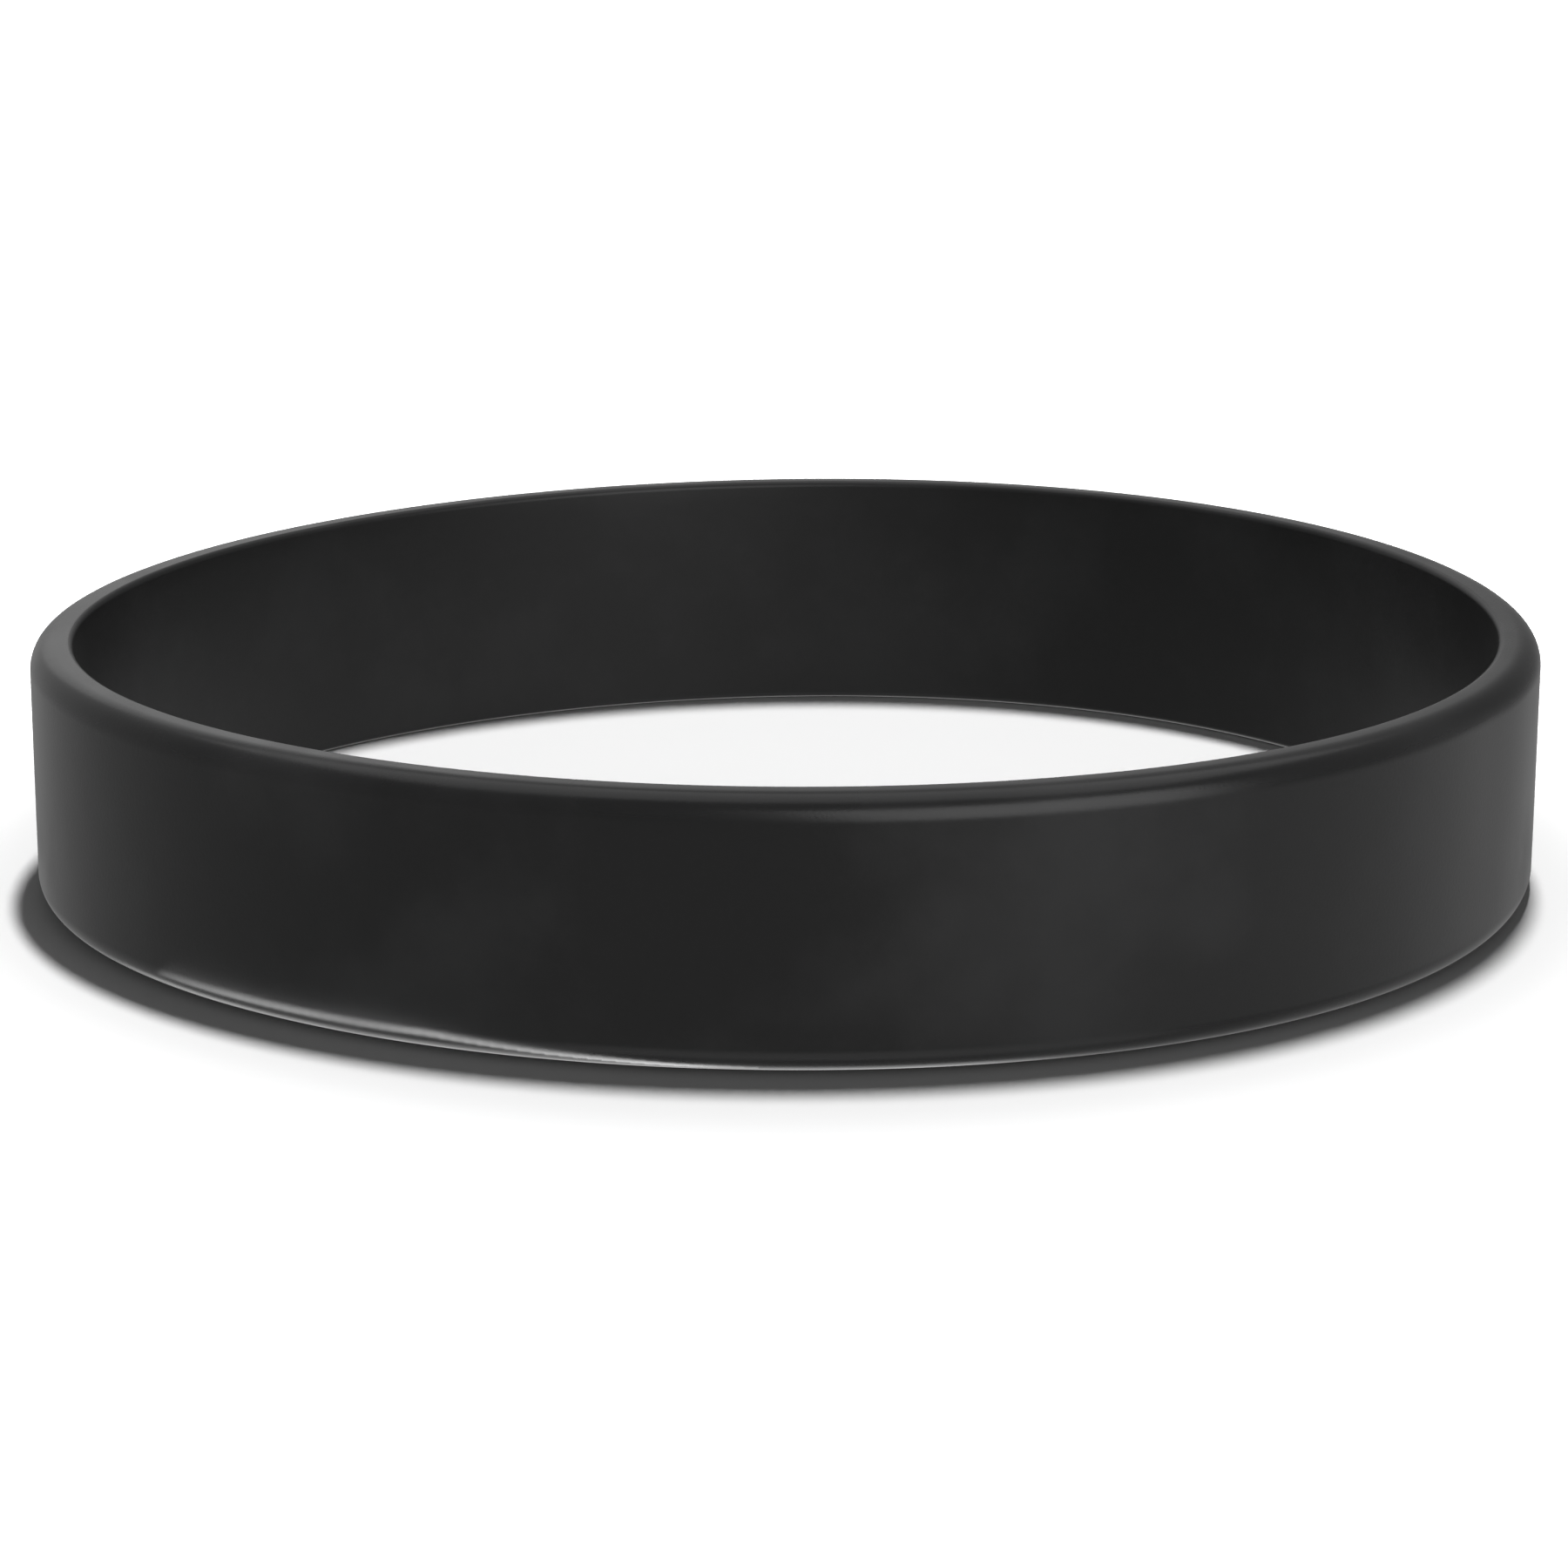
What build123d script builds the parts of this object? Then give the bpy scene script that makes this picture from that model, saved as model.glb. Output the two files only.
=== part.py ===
from build123d import *
from math import cos, pi, radians
import os

# A moulded silicone wristband, lying on one rim as it rests on a table.
# Millimetres. +Z is up through the bore, X runs along the longer way of the slightly oval ring,
# and the origin is under the middle of the ring, on the surface that it lies on.

# Sizes of the band
bore_girth = 202.0  # length round the inside
wall = 2.0  # thickness of the silicone
band_width = 12.0  # from one rim to the other
outer_edge_radius = 1.2  # rounding of each rim towards the outside
bore_edge_radius = 0.3  # rounding of each rim towards the bore

# How far the empty band lies out of round
oval_swell = 1.4  # it stands out this much at both ends of X, and draws in as much across Y
egg_swell = 0.5  # the end at -X stands out this much further, the end at +X as much less

# Limits that keep a flat between the two roundings of a rim
outer_edge_wall_share = 0.75
bore_edge_wall_share = 0.2

# The outline is a closed chain of tangent arcs that all turn through the same angle
arc_count = 24
arc_turn = 360 / arc_count
mean_bore_radius = bore_girth / (2 * pi)


def bend_radius(facing):
    """Radius to which the bore is bent where its wall faces this way, in degrees from +X.

    Swells of the outline that repeat n times a turn change the radius n * n - 1 times as much.
    They cancel out over a whole turn, so the chain closes and keeps its girth.
    """
    oval_bend = -3 * oval_swell * cos(radians(2 * facing))
    egg_bend = 8 * egg_swell * cos(radians(3 * facing))
    return mean_bore_radius + oval_bend + egg_bend


# Outside of the band, drawn from arc to arc, with one arc square to each end of X
with BuildLine() as outside:
    joint = Vector(0, 0)
    heading = Vector(0, 1).rotate(Axis.Z, -arc_turn / 2)
    for number in range(arc_count):
        outside_radius = bend_radius(number * arc_turn) + wall
        arc = JernArc(joint, heading, outside_radius, arc_turn)
        joint = arc @ 1
        heading = arc % 1

middle = outside.line.bounding_box().center()

# The band: the ring between outside and bore, raised to its width and rounded at both rims
with BuildPart() as wristband:
    with BuildSketch(Plane((-middle.X, -middle.Y, 0))):
        add(outside.line)
        make_face()
        offset(amount=-wall, mode=Mode.SUBTRACT)
    extrude(amount=band_width)

    outer_rims = [edge for rim in faces().filter_by(Axis.Z) for edge in rim.outer_wire().edges()]
    fillet(outer_rims, radius=min(outer_edge_radius, outer_edge_wall_share * wall))

    bore_rims = [edge for rim in faces().filter_by(Axis.Z) for edge in rim.inner_wires().edges()]
    fillet(bore_rims, radius=min(bore_edge_radius, bore_edge_wall_share * wall))

wristband.part.label = "wristband"

os.makedirs("parts", exist_ok=True)
export_step(wristband.part, "parts/wristband.step")
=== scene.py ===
"""A plain black silicone wristband, resting on one rim on a pale floor in a small light studio.

Metres. +Z is up through the bore of the band, +X runs along the longer way of its resting outline,
and the origin is under the middle of the band, on the floor.
"""

import logging
from collections.abc import Callable, Iterator, Sequence
from dataclasses import astuple, dataclass, field
from enum import Enum
from math import cos, pi, radians, sin

import bmesh
import bpy
from mathutils import Matrix, Vector


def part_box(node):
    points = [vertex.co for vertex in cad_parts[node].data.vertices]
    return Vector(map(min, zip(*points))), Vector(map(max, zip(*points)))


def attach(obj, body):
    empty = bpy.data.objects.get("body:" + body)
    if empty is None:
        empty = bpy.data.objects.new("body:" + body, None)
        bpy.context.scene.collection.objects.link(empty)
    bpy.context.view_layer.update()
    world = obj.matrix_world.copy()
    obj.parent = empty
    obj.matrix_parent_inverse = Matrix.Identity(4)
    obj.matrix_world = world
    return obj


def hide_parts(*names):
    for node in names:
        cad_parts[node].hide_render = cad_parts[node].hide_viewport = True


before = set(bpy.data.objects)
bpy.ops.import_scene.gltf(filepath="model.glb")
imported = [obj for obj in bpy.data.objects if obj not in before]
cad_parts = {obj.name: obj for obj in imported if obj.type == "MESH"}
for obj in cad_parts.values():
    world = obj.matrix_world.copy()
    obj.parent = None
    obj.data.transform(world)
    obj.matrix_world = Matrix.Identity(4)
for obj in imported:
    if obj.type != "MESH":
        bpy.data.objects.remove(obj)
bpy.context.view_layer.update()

log = logging.getLogger("wristband")

MM = 0.001
FULL_TURN = 2 * pi
UP = Vector((0.0, 0.0, 1.0))
WHITE = (1.0, 1.0, 1.0, 1.0)
MIDDLE_OF_BAND = (0.0, 0.0, 6 * MM)


class Corner(Enum):
    """The two edges of a rim: the full rounding outside, and the nearly sharp one at the bore."""

    OUTER = "outer"
    BORE = "bore"


class Lights(Enum):
    """What a lamp does: it lights matt surfaces, or it shows in glossy ones."""

    MATT = "matt"
    GLOSS = "gloss"


def level_direction(facing: float) -> Vector:
    """Gives the level direction that is turned from +X by an angle in radians."""
    return Vector((cos(facing), sin(facing), 0.0))


def deselect_all() -> None:
    """Deselects every object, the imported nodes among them."""
    bpy.ops.object.select_all(action="DESELECT")


def apply_place(piece: bpy.types.Object) -> None:
    """Moves an object's place into its mesh, so that the object sits at the origin, unturned.

    Args:
        piece: the object, which is left as the only one selected.
    """
    deselect_all()
    piece.select_set(True)
    bpy.context.view_layer.objects.active = piece
    bpy.ops.object.transform_apply(location=True, rotation=True, scale=True)


def select_in_edit(wanted: Callable[[Vector], bool]) -> None:
    """Selects the vertices of the mesh in edit mode by their place, and nothing else.

    Args:
        wanted: says of a vertex's place whether it is selected.
    """
    bpy.ops.mesh.select_mode(type="VERT")
    mesh = bpy.context.edit_object.data
    editing = bmesh.from_edit_mesh(mesh)
    for vertex in editing.verts:
        vertex.select = wanted(vertex.co)
    editing.select_flush_mode()
    bmesh.update_edit_mesh(mesh)


@dataclass(frozen=True)
class Rise:
    """A smooth step: the value where it leaves its low end, and the one where it is full."""

    starts: float
    full: float

    def times(self, scale: float) -> "Rise":
        """Gives the same step for values that are larger by the given factor."""
        return Rise(self.starts * scale, self.full * scale)


@dataclass(frozen=True)
class Pattern:
    """A noise: about how large its blotches are, in metres, and how many finer layers it holds."""

    size: float
    detail: float


def feed(
    tree: bpy.types.NodeTree,
    entry: bpy.types.NodeSocket,
    value: bpy.types.NodeSocket | Sequence[float] | float,
) -> None:
    """Gives a node's entry what it works on.

    Args:
        tree: the nodes that it is one of.
        entry: the entry.
        value: another node's output, which is linked to it, or a number or vector to set on it.
    """
    if isinstance(value, bpy.types.NodeSocket):
        tree.links.new(value, entry)
    else:
        entry.default_value = value


def number_maths(
    tree: bpy.types.NodeTree, operation: str, *values: bpy.types.NodeSocket | float
) -> bpy.types.NodeSocket:
    """Adds a calculation with numbers.

    Args:
        tree: the nodes that it is added to.
        operation: what it does with them.
        values: what it works on, in order.

    Returns:
        Its result.
    """
    maths = tree.nodes.new("ShaderNodeMath")
    maths.operation = operation
    for entry, value in zip(maths.inputs, values):
        feed(tree, entry, value)
    return maths.outputs["Value"]


def vector_maths(
    tree: bpy.types.NodeTree, operation: str, *values: bpy.types.NodeSocket | Sequence[float]
) -> bpy.types.ShaderNodeVectorMath:
    """Adds a calculation with vectors.

    Args:
        tree: the nodes that it is added to.
        operation: what it does with them.
        values: what it works on, in order.

    Returns:
        The node, because some operations give a vector and others a number.
    """
    maths = tree.nodes.new("ShaderNodeVectorMath")
    maths.operation = operation
    for entry, value in zip(maths.inputs, values):
        feed(tree, entry, value)
    return maths


def smooth_step(
    tree: bpy.types.NodeTree,
    value: bpy.types.NodeSocket,
    rise: Rise,
    low: float = 0.0,
    high: float = 1.0,
) -> bpy.types.NodeSocket:
    """Adds a smooth step from one number to another.

    Args:
        tree: the nodes that it is added to.
        value: what is stepped.
        rise: the values between which it steps.
        low: the number before the step.
        high: the number after it.

    Returns:
        The stepped number.
    """
    step = tree.nodes.new("ShaderNodeMapRange")
    step.interpolation_type = "SMOOTHSTEP"
    feed(tree, step.inputs["Value"], value)
    feed(tree, step.inputs["From Min"], rise.starts)
    feed(tree, step.inputs["From Max"], rise.full)
    feed(tree, step.inputs["To Min"], low)
    feed(tree, step.inputs["To Max"], high)
    return step.outputs["Result"]


def blend(
    tree: bpy.types.NodeTree,
    share: bpy.types.NodeSocket,
    without: bpy.types.NodeSocket | float,
    full: bpy.types.NodeSocket | float,
) -> bpy.types.NodeSocket:
    """Adds a blend of two numbers.

    Args:
        tree: the nodes that it is added to.
        share: how much of the second number it holds, from 0 to 1.
        without: the first number.
        full: the second number.

    Returns:
        The blended number.
    """
    mix = tree.nodes.new("ShaderNodeMix")
    feed(tree, mix.inputs["Factor"], share)
    feed(tree, mix.inputs["A"], without)
    feed(tree, mix.inputs["B"], full)
    return mix.outputs["Result"]


@dataclass(frozen=True)
class Bend:
    """One arc of the outline: the centre that it turns about, its radius and how far it turns."""

    centre: Vector
    radius: float
    turn: float


@dataclass(frozen=True)
class RestingOutline:
    """The slightly egg-shaped outline that the empty band lies in, as a closed chain of arcs.

    All arcs turn through the same angle. Swells of the outline that repeat n times a turn change
    the bend radius n * n - 1 times as much, so the chain closes and keeps its girth.
    """

    bore_girth: float = 202.0 * MM
    oval_swell: float = 1.4 * MM
    egg_swell: float = 0.5 * MM
    arc_count: int = 24

    def bend_radius(self, facing: float) -> float:
        """Gives the radius to which the bore is bent.

        Args:
            facing: direction that the wall faces there, in radians from +X.

        Returns:
            The radius of the bore.
        """
        oval_bend = -3 * self.oval_swell * cos(2 * facing)
        egg_bend = 8 * self.egg_swell * cos(3 * facing)
        return self.bore_girth / FULL_TURN + oval_bend + egg_bend

    def bends(self, bore_end: float) -> Iterator[Bend]:
        """Walks once round the outline from the middle of the arc at +X.

        Args:
            bore_end: where the bore crosses +X.

        Yields:
            The arcs in order. The first and the last are the two halves of the same arc.
        """
        arc_turn = FULL_TURN / self.arc_count
        radius = self.bend_radius(0.0)
        centre = Vector((bore_end - radius, 0.0, 0.0))
        yield Bend(centre, radius, arc_turn / 2)
        for number in range(1, self.arc_count + 1):
            outwards = level_direction((number - 0.5) * arc_turn)
            next_radius = self.bend_radius(number * arc_turn)
            centre = centre + (radius - next_radius) * outwards
            radius = next_radius
            yield Bend(centre, radius, arc_turn / 2 if number == self.arc_count else arc_turn)

    def outer_place(self, facing: float, bore_end: float, wall: float) -> Vector:
        """Finds the point on the outside of the wall that faces a direction.

        Args:
            facing: the direction, in radians from +X, from nothing to a full turn.
            bore_end: where the bore crosses +X.
            wall: thickness of the wall.

        Returns:
            The point, on the floor.
        """
        turned = 0.0
        for bend in self.bends(bore_end):
            turned += bend.turn
            if turned >= facing:
                break
        return bend.centre + (bend.radius + wall) * level_direction(facing)


@dataclass(frozen=True)
class SatinSilicone:
    """Black moulded silicone: satin, with the fine grain of its mould and faint cloudy patches.

    Handling has polished its rims in patches, and the wall of its bore is more matt. rim is given
    in shares of the band's width from its middle, and bore in how squarely a surface faces the
    middle of the band.
    """

    name: str = "black_satin_silicone"
    colour: tuple[float, float, float] = (0.0034, 0.0034, 0.0036)
    cloudy_colour: tuple[float, float, float] = (0.0110, 0.0110, 0.0114)
    refraction: float = 1.41
    roughness: float = 0.28
    cloudy_roughness: float = 0.36
    worn_roughness: float = 0.24
    bore_roughness: float = 0.42
    clouds: Pattern = Pattern(size=9.0 * MM, detail=4.0)
    cloudy: Rise = Rise(starts=0.42, full=0.72)
    wear: Pattern = Pattern(size=6.0 * MM, detail=3.0)
    worn: Rise = Rise(starts=0.30, full=0.62)
    rim: Rise = Rise(starts=0.40, full=0.49)
    bore: Rise = Rise(starts=0.1, full=0.8)
    ripples: Pattern = Pattern(size=5.0 * MM, detail=1.0)
    ripple_depth: float = 0.018 * MM
    grain: Pattern = Pattern(size=0.16 * MM, detail=2.0)
    grain_depth: float = 0.0040 * MM

    def material(self, band_width: float) -> bpy.types.Material:
        """Makes the material.

        Args:
            band_width: height of the resting band, which says where its handled rims are.

        Returns:
            The material, whose patterns read Object coordinates.
        """
        made = bpy.data.materials.new(self.name)
        made.use_nodes = True
        tree = made.node_tree
        shader = tree.nodes["Principled BSDF"]
        place = tree.nodes.new("ShaderNodeTexCoord").outputs["Object"]
        cloudiness = smooth_step(tree, self._noise(tree, place, self.clouds), self.cloudy)

        feed(tree, shader.inputs["IOR"], self.refraction)
        feed(tree, shader.inputs["Base Color"], self._clouded_colour(tree, cloudiness))

        satin = blend(tree, cloudiness, self.roughness, self.cloudy_roughness)
        rims = blend(tree, self._edge_wear(tree, place, band_width), satin, self.worn_roughness)
        bore = blend(tree, self._bore_side(tree, place), rims, self.bore_roughness)
        feed(tree, shader.inputs["Roughness"], bore)

        ripples = self._bump(tree, self._noise(tree, place, self.ripples), self.ripple_depth)
        grain = self._bump(tree, self._noise(tree, place, self.grain), self.grain_depth)
        feed(tree, grain.inputs["Normal"], ripples.outputs["Normal"])
        feed(tree, shader.inputs["Normal"], grain.outputs["Normal"])
        return made

    def _clouded_colour(
        self, tree: bpy.types.NodeTree, cloudiness: bpy.types.NodeSocket
    ) -> bpy.types.NodeSocket:
        """Adds the colour, which is a little paler in the cloudy patches.

        Args:
            tree: the material's nodes.
            cloudiness: how cloudy the surface is, from 0 to 1.

        Returns:
            The colour.
        """
        colour = tree.nodes.new("ShaderNodeMix")
        colour.data_type = "RGBA"
        feed(tree, colour.inputs["Factor"], cloudiness)
        feed(tree, colour.inputs["A"], (*self.colour, 1.0))
        feed(tree, colour.inputs["B"], (*self.cloudy_colour, 1.0))
        return colour.outputs["Result"]

    def _noise(
        self, tree: bpy.types.NodeTree, place: bpy.types.NodeSocket, pattern: Pattern
    ) -> bpy.types.NodeSocket:
        """Adds a noise.

        Args:
            tree: the material's nodes.
            place: the coordinates that it reads.
            pattern: its size and detail.

        Returns:
            Its value, from 0 to 1.
        """
        noise = tree.nodes.new("ShaderNodeTexNoise")
        feed(tree, noise.inputs["Vector"], place)
        feed(tree, noise.inputs["Scale"], 1 / pattern.size)
        feed(tree, noise.inputs["Detail"], pattern.detail)
        return noise.outputs["Fac"]

    def _bump(
        self, tree: bpy.types.NodeTree, height: bpy.types.NodeSocket, depth: float
    ) -> bpy.types.ShaderNodeBump:
        """Adds a bump.

        Args:
            tree: the material's nodes.
            height: the pattern, from 0 to 1.
            depth: height of the pattern's peaks, in metres.

        Returns:
            The bump's node, whose normal can feed the next one.
        """
        bump = tree.nodes.new("ShaderNodeBump")
        feed(tree, bump.inputs["Strength"], 1.0)
        feed(tree, bump.inputs["Distance"], depth)
        feed(tree, bump.inputs["Height"], height)
        return bump

    def _bore_side(
        self, tree: bpy.types.NodeTree, place: bpy.types.NodeSocket
    ) -> bpy.types.NodeSocket:
        """Adds a mask of the bore, where the surface faces the middle of the band.

        Args:
            tree: the material's nodes.
            place: the coordinates that it reads.

        Returns:
            1 on the wall of the bore, 0 on the rims and outside.
        """
        to_axis = vector_maths(tree, "MULTIPLY", place, (-1.0, -1.0, 0.0))
        inwards = vector_maths(tree, "NORMALIZE", to_axis.outputs["Vector"])
        normal = tree.nodes.new("ShaderNodeTexCoord").outputs["Normal"]
        faced = vector_maths(tree, "DOT_PRODUCT", inwards.outputs["Vector"], normal)
        return smooth_step(tree, faced.outputs["Value"], self.bore)

    def _edge_wear(
        self, tree: bpy.types.NodeTree, place: bpy.types.NodeSocket, band_width: float
    ) -> bpy.types.NodeSocket:
        """Adds the polish that handling leaves on the two rims, in patches.

        Args:
            tree: the material's nodes.
            place: the coordinates that it reads.
            band_width: height of the resting band.

        Returns:
            How worn the surface is, from 0 to 1.
        """
        split = tree.nodes.new("ShaderNodeSeparateXYZ")
        feed(tree, split.inputs["Vector"], place)
        above_middle = number_maths(tree, "SUBTRACT", split.outputs["Z"], band_width / 2)
        off_middle = number_maths(tree, "ABSOLUTE", above_middle)
        near_rim = smooth_step(tree, off_middle, self.rim.times(band_width))
        patches = smooth_step(tree, self._noise(tree, place, self.wear), self.worn)
        return number_maths(tree, "MULTIPLY", near_rim, patches)


@dataclass(frozen=True)
class Rounding:
    """The rounding of an edge: its radius, and how many facets it is drawn with."""

    radius: float
    facets: int


@dataclass
class Wristband:
    """The moulded band: one closed ring of silicone, with a flat wall and rounded rims."""

    finish: SatinSilicone = SatinSilicone()
    outline: RestingOutline = RestingOutline()
    name: str = "silicone_wristband"
    node: str = "wristband"
    body: str = "root"
    slot: str = "black_silicone"
    wall: float = 2.0 * MM
    roundings: dict[Corner, Rounding] = field(
        default_factory=lambda: {
            Corner.OUTER: Rounding(radius=1.2 * MM, facets=20),
            Corner.BORE: Rounding(radius=0.3 * MM, facets=8),
        }
    )
    wall_rows: int = 14
    steps_per_turn: int = 288
    smooth_under: float = radians(30)
    in_line_within: float = 0.02 * MM
    merged_within: float = 0.002 * MM

    def make(self) -> bpy.types.Object:
        """Models the band, dresses it and puts it in the frame.

        Returns:
            The finished piece.
        """
        low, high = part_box(self.node)
        self._draw_section(outside=high.x, bottom=low.z, top=high.z)
        for corner in Corner:
            self._round_corners(corner, outside=high.x)
        self._divide_walls(bottom=low.z, top=high.z)
        self._spin_round(bore_end=high.x - self.wall)
        piece = self._close()
        piece.data.materials.append(self.finish.material(band_width=high.z - low.z))
        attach(piece, self.body)
        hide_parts(self.node)
        return piece

    def _draw_section(self, outside: float, bottom: float, top: float) -> None:
        """Draws the band's upright section at +X as a plane, and leaves it in edit mode.

        Args:
            outside: where the outside of the wall crosses +X.
            bottom: height of the rim that the band rests on.
            top: height of the upper rim.
        """
        deselect_all()
        middle = Vector((outside - self.wall / 2, 0.0, (bottom + top) / 2))
        bpy.ops.mesh.primitive_plane_add(size=1.0, location=middle, rotation=(pi / 2, 0.0, 0.0))
        piece = bpy.context.object
        piece.name = piece.data.name = self.name
        piece.scale = (self.wall, top - bottom, 1.0)
        apply_place(piece)
        bpy.ops.object.mode_set(mode="EDIT")

    def _round_corners(self, corner: Corner, outside: float) -> None:
        """Rounds the section's two corners on one side.

        Args:
            corner: which side of the wall they are on.
            outside: where the outside of the wall crosses +X.
        """
        side = outside if corner is Corner.OUTER else outside - self.wall
        rounding = self.roundings[corner]
        select_in_edit(lambda place: abs(place.x - side) < self.in_line_within)
        bpy.ops.mesh.bevel(offset=rounding.radius, segments=rounding.facets, affect="VERTICES")

    def _divide_walls(self, bottom: float, top: float) -> None:
        """Leaves the section as a line, and cuts its two upright sides into rows.

        Args:
            bottom: height of the rim that the band rests on.
            top: height of the upper rim.
        """
        bpy.ops.mesh.select_all(action="SELECT")
        bpy.ops.mesh.delete(type="ONLY_FACE")
        bpy.ops.mesh.select_mode(type="EDGE")
        mesh = bpy.context.edit_object.data
        editing = bmesh.from_edit_mesh(mesh)
        for edge in editing.edges:
            rise = abs(edge.verts[0].co.z - edge.verts[1].co.z)
            edge.select = rise > (top - bottom) / 2
        editing.select_flush_mode()
        bmesh.update_edit_mesh(mesh)
        bpy.ops.mesh.subdivide(number_cuts=self.wall_rows - 1)
        bpy.ops.mesh.select_mode(type="VERT")

    def _spin_round(self, bore_end: float) -> None:
        """Spins the section round the outline, arc by arc.

        Args:
            bore_end: where the bore crosses +X.
        """
        bpy.ops.mesh.select_all(action="SELECT")
        for bend in self.outline.bends(bore_end):
            steps = round(self.steps_per_turn * bend.turn / FULL_TURN)
            bpy.ops.mesh.spin(steps=steps, angle=-bend.turn, center=bend.centre, axis=UP)

    def _close(self) -> bpy.types.Object:
        """Joins the two ends of the ring, turns its faces outwards and smooths it.

        Returns:
            The closed piece, back in object mode.
        """
        bpy.ops.mesh.select_all(action="SELECT")
        bpy.ops.mesh.remove_doubles(threshold=self.merged_within)
        bpy.ops.mesh.normals_make_consistent(inside=False)
        bpy.ops.object.mode_set(mode="OBJECT")
        bpy.ops.object.shade_smooth_by_angle(angle=self.smooth_under)
        return bpy.context.object


@dataclass(frozen=True)
class View:
    """The camera's place as it sees the middle of the band, and the directions that go with it.

    The middle of the band lies aside to the right of the line of sight, and above over it. The
    focal length and the sensor's width are in millimetres.
    """

    focal_length: float = 105.2
    sensor_width: float = 36.0
    elevation: float = radians(15.344)
    turn: float = radians(14.0)
    roll: float = radians(-0.158)
    distance: float = 218.95 * MM
    aside: float = 0.119 * MM
    above: float = 2.242 * MM
    nearest: float = 10 * MM

    def across(self) -> Vector:
        """Gives the level direction to the right of the picture."""
        return level_direction(-self.turn)

    def away(self) -> Vector:
        """Gives the level direction away from the camera."""
        return level_direction(pi / 2 - self.turn)

    def ahead(self) -> Vector:
        """Gives the direction in which the camera looks."""
        return cos(self.elevation) * self.away() - sin(self.elevation) * UP

    def place(self, right: float, back: float, up: float) -> Vector:
        """Gives a point by its place as the camera sees it.

        Args:
            right: how far it is to the right of the middle of the band.
            back: how far it is behind it.
            up: how high it is above the floor.

        Returns:
            The point.
        """
        return right * self.across() + back * self.away() + up * UP

    def add_camera(self, target: Vector) -> bpy.types.Object:
        """Adds the camera and makes it the scene's own.

        Args:
            target: the middle of the band.

        Returns:
            The camera.
        """
        ahead = self.ahead()
        unrolled_up = sin(self.elevation) * self.away() + cos(self.elevation) * UP
        right = cos(self.roll) * self.across() - sin(self.roll) * unrolled_up
        up = sin(self.roll) * self.across() + cos(self.roll) * unrolled_up
        stand = target - self.aside * right - self.above * up - self.distance * ahead

        lens = bpy.data.cameras.new("photo_camera")
        lens.lens = self.focal_length
        lens.sensor_fit = "HORIZONTAL"
        lens.sensor_width = self.sensor_width
        lens.clip_start = self.nearest
        camera = bpy.data.objects.new("photo_camera", lens)
        bpy.context.scene.collection.objects.link(camera)
        turned = Matrix((right, up, -ahead)).transposed()
        camera.matrix_world = Matrix.Translation(stand) @ turned.to_4x4()
        bpy.context.scene.camera = camera
        return camera


@dataclass(frozen=True)
class Softbox:
    """A flat soft lamp, which hangs at one place in the view and faces another.

    Its brightness is how bright it looks, where plain white is 1.
    """

    name: str
    stand: tuple[float, float, float]
    width: float
    depth: float
    brightness: float
    aim: tuple[float, float, float] = MIDDLE_OF_BAND
    lights: Lights = Lights.GLOSS
    round_shape: bool = False

    def hang(self, view: View) -> bpy.types.Object:
        """Hangs the lamp, as strong as its brightness needs at its size.

        Args:
            view: the view that its place is given in.

        Returns:
            The lamp.
        """
        area = self.width * self.depth * (pi / 4 if self.round_shape else 1.0)
        lamp = bpy.data.lights.new(self.name, "AREA")
        lamp.shape = "ELLIPSE" if self.round_shape else "RECTANGLE"
        lamp.size = self.width
        lamp.size_y = self.depth
        lamp.energy = self.brightness * pi * area
        hung = bpy.data.objects.new(self.name, lamp)
        bpy.context.scene.collection.objects.link(hung)
        stand = view.place(*self.stand)
        facing = view.place(*self.aim) - stand
        hung.location = stand
        hung.rotation_euler = facing.to_track_quat("-Z", "Y").to_euler()
        hung.visible_camera = False
        hung.visible_glossy = self.lights is Lights.GLOSS
        hung.visible_diffuse = self.lights is Lights.MATT
        return hung


@dataclass(frozen=True)
class FootLamp:
    """A tiny lamp on the floor at the foot of the band, seen only in its lower rounding.

    It lies where the wall faces facing, starts at gap outwards from the foot of the wall, and is
    depth deep. It shines narrowly, up the line on which the camera sees it in the rounding, at
    the place there that is turned down from the wall by rounding_turn.
    """

    facing: float
    gap: float
    depth: float
    rounding_turn: float
    brightness: float
    beam: float = radians(44)

    def towards(self, other: "FootLamp", share: float) -> "FootLamp":
        """Gives the lamp that lies between this one and another.

        Args:
            other: the other lamp.
            share: how far it is on the way to the other, from 0 to 1.

        Returns:
            The lamp between them.
        """
        pairs = zip(astuple(self), astuple(other))
        return FootLamp(*((1 - share) * mine + share * theirs for mine, theirs in pairs))

    def lay(self, foot: Vector, spacing: float, view: View) -> None:
        """Lays the lamp.

        Args:
            foot: the point on the floor under the outside of the wall, where the wall faces it.
            spacing: how far apart the lamps of the row are.
            view: the view in which it shows.
        """
        outwards = level_direction(self.facing)
        round_band = level_direction(self.facing + pi / 2)
        mirror = cos(self.rounding_turn) * outwards - sin(self.rounding_turn) * UP
        shine = -view.ahead().reflect(mirror)
        along = round_band - round_band.dot(shine) * shine
        across = along.cross(shine).normalized()

        lamp = bpy.data.lights.new("foot_lamp", "AREA")
        lamp.shape = "RECTANGLE"
        lamp.size = spacing * along.length
        lamp.size_y = self.depth
        lamp.spread = self.beam
        lamp.energy = self.brightness * pi * lamp.size * lamp.size_y
        laid = bpy.data.objects.new("foot_lamp", lamp)
        bpy.context.scene.collection.objects.link(laid)
        place = foot + (self.gap + self.depth / 2) * outwards
        turned = Matrix((along.normalized(), across, -shine)).transposed()
        laid.matrix_world = Matrix.Translation(place) @ turned.to_4x4()
        laid.visible_camera = False
        laid.visible_diffuse = False


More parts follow.
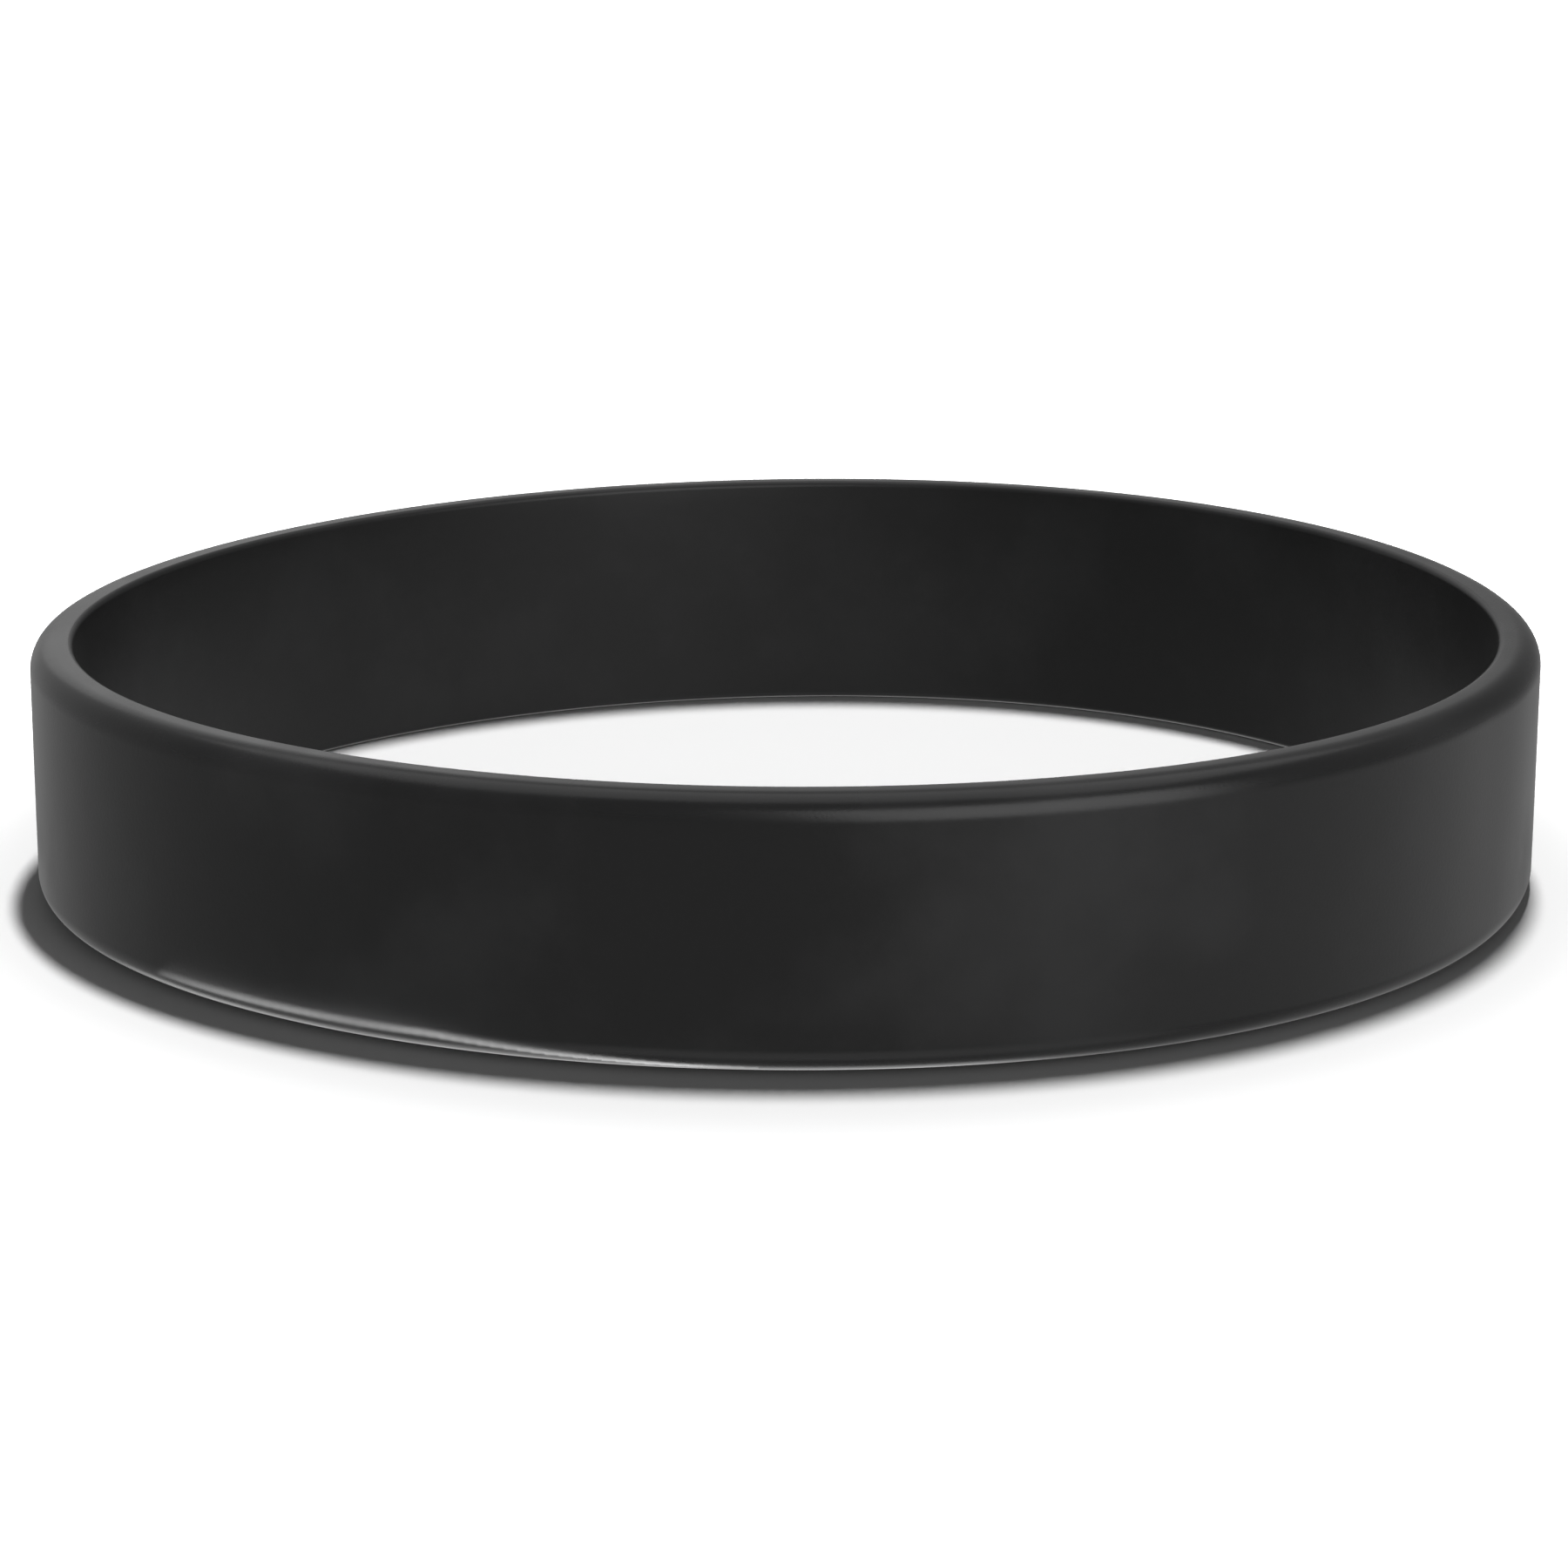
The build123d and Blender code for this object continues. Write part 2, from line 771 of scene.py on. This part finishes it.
@dataclass(frozen=True)
class FootLight:
    """A row of foot lamps along the left front, which draws the bright streak at its foot."""

    marks: tuple[FootLamp, ...] = (
        FootLamp(facing=radians(207), gap=0.25 * MM, depth=1.40 * MM,
                 rounding_turn=radians(16), brightness=0.08),
        FootLamp(facing=radians(233), gap=0.20 * MM, depth=1.10 * MM,
                 rounding_turn=radians(16), brightness=0.82),
        FootLamp(facing=radians(241), gap=-0.30 * MM, depth=0.60 * MM,
                 rounding_turn=radians(34), brightness=0.66),
        FootLamp(facing=radians(249), gap=-0.62 * MM, depth=0.28 * MM,
                 rounding_turn=radians(47), brightness=0.32),
        FootLamp(facing=radians(254), gap=-0.68 * MM, depth=0.20 * MM,
                 rounding_turn=radians(50), brightness=0.05),
    )
    step: float = radians(0.9)

    def lay(self, band: Wristband, outside: float, view: View) -> None:
        """Lays the lamps side by side from mark to mark.

        Args:
            band: the band that they lie along.
            outside: where the outside of its wall crosses +X.
            view: the view in which they show.
        """
        for first, last in zip(self.marks, self.marks[1:]):
            count = round((last.facing - first.facing) / self.step)
            half_step = (last.facing - first.facing) / count / 2
            for number in range(count):
                lamp = first.towards(last, (number + 0.5) / count)
                start, middle, end = (
                    band.outline.outer_place(lamp.facing + turn, outside - band.wall, band.wall)
                    for turn in (-half_step, 0.0, half_step)
                )
                lamp.lay(middle, (end - start).length, view)


@dataclass(frozen=True)
class Room:
    """The even pale light from all round, which shows more in gloss than it lights the floor.

    In gloss it has one dimmer corner, which is fully dim within dim_core of its middle and ends
    dim_reach from it.
    """

    backdrop_brightness: float = 1.0
    gloss_brightness: float = 0.46
    matt_brightness: float = 0.10
    dim_corner: tuple[float, float, float] = (0.55, 0.81, 0.21)
    dim_brightness: float = 0.20
    dim_core: float = radians(6)
    dim_reach: float = radians(30)

    def light(self, view: View) -> None:
        """Makes the room the world of the scene, and gives the picture plain unfiltered tones.

        Args:
            view: the view that the place of the room's dim corner is given in.
        """
        room = bpy.data.worlds.new("pale_room")
        room.use_nodes = True
        tree = room.node_tree
        rays = tree.nodes.new("ShaderNodeLightPath").outputs
        glow = self._glow_in_gloss(tree, view)
        around = blend(tree, rays["Is Glossy Ray"], self.matt_brightness, glow)
        seen = blend(tree, rays["Is Camera Ray"], around, self.backdrop_brightness)
        background = tree.nodes["Background"]
        feed(tree, background.inputs["Color"], WHITE)
        feed(tree, background.inputs["Strength"], seen)
        bpy.context.scene.world = room
        bpy.context.scene.view_settings.view_transform = "Standard"

    def _glow_in_gloss(self, tree: bpy.types.NodeTree, view: View) -> bpy.types.NodeSocket:
        """Adds how bright the room shows in gloss, with its dim corner.

        Args:
            tree: the room's nodes.
            view: the view that the place of the dim corner is given in.

        Returns:
            The brightness in the direction that is looked at.
        """
        corner = view.place(*self.dim_corner).normalized()
        direction = tree.nodes.new("ShaderNodeTexCoord").outputs["Generated"]
        nearness = vector_maths(tree, "DOT_PRODUCT", direction, corner).outputs["Value"]
        into_corner = Rise(starts=cos(self.dim_reach), full=cos(self.dim_core))
        return smooth_step(
            tree, nearness, into_corner, low=self.gloss_brightness, high=self.dim_brightness
        )


@dataclass(frozen=True)
class PaleFloor:
    """The plain pale floor, which glows softly from a little way round the band outwards."""

    size: float = 12.0
    drop: float = 0.02 * MM
    colour: tuple[float, float, float] = (0.86, 0.86, 0.86)
    roughness: float = 0.9
    glow: float = 0.90
    glow_reach: Rise = Rise(starts=35 * MM, full=54 * MM)

    def lay(self) -> bpy.types.Object:
        """Returns:
            The floor.
        """
        deselect_all()
        bpy.ops.mesh.primitive_plane_add(size=self.size, location=(0.0, 0.0, -self.drop))
        floor = bpy.context.object
        floor.name = floor.data.name = "studio_floor"
        apply_place(floor)
        floor.data.materials.append(self._paint())
        floor.visible_glossy = False
        return floor

    def _paint(self) -> bpy.types.Material:
        """Makes the floor's matt paint, with its glow.

        Returns:
            The material.
        """
        paint = bpy.data.materials.new("pale_floor")
        paint.use_nodes = True
        tree = paint.node_tree
        place = tree.nodes.new("ShaderNodeTexCoord").outputs["Object"]
        from_middle = vector_maths(tree, "LENGTH", place).outputs["Value"]
        glow = smooth_step(tree, from_middle, self.glow_reach, high=self.glow)
        shader = tree.nodes["Principled BSDF"]
        feed(tree, shader.inputs["Base Color"], (*self.colour, 1.0))
        feed(tree, shader.inputs["Roughness"], self.roughness)
        feed(tree, shader.inputs["Specular IOR Level"], 0.0)
        feed(tree, shader.inputs["Emission Color"], WHITE)
        feed(tree, shader.inputs["Emission Strength"], glow)
        return paint


@dataclass(frozen=True)
class Studio:
    """The plain pale floor, the soft lights round it and the camera at the photo's angle."""

    view: View = View()
    room: Room = Room()
    floor: PaleFloor = PaleFloor()
    foot_light: FootLight = FootLight()
    lamps: tuple[Softbox, ...] = (
        Softbox("lamp_over_bore", stand=(0.046, 0.181, 1.000), aim=(0.046, 0.181, 0.0),
                width=0.080, depth=0.205, brightness=255.0, lights=Lights.MATT,
                round_shape=True),
        Softbox("softbox_front_right", stand=(0.387, -0.620, 0.325),
                width=0.76, depth=0.66, brightness=2.2),
        Softbox("card_overhead", stand=(0.0, 0.17, 0.80),
                width=1.10, depth=0.75, brightness=0.85),
        Softbox("card_behind_left", stand=(-0.214, 0.699, 0.325),
                width=0.34, depth=0.37, brightness=0.32),
        Softbox("low_card_right", stand=(0.726, -0.264, -0.207),
                width=2.30, depth=0.37, brightness=0.28),
        Softbox("low_card_front", stand=(0.10, -0.566, -0.566),
                width=1.20, depth=0.49, brightness=0.55),
        Softbox("low_card_behind", stand=(-0.082, 0.267, -0.415),
                width=0.36, depth=0.40, brightness=1.1),
    )

    def build(self, band: Wristband) -> None:
        """Lays the floor, lights the room, hangs the lamps and sets up the camera.

        Args:
            band: the band in the middle of the studio.
        """
        low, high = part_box(band.node)
        self.floor.lay()
        self.room.light(self.view)
        for lamp in self.lamps:
            lamp.hang(self.view)
        self.foot_light.lay(band, outside=high.x, view=self.view)
        self.view.add_camera(target=(low + high) / 2)


def main() -> None:
    """Builds the band and the studio round it, and reports each piece."""
    logging.basicConfig(level=logging.INFO, format="%(name)s: %(message)s")
    band = Wristband()
    piece = band.make()
    log.info("%s has %d faces", piece.name, len(piece.data.polygons))
    Studio().build(band)


if __name__ == "__main__":
    main()
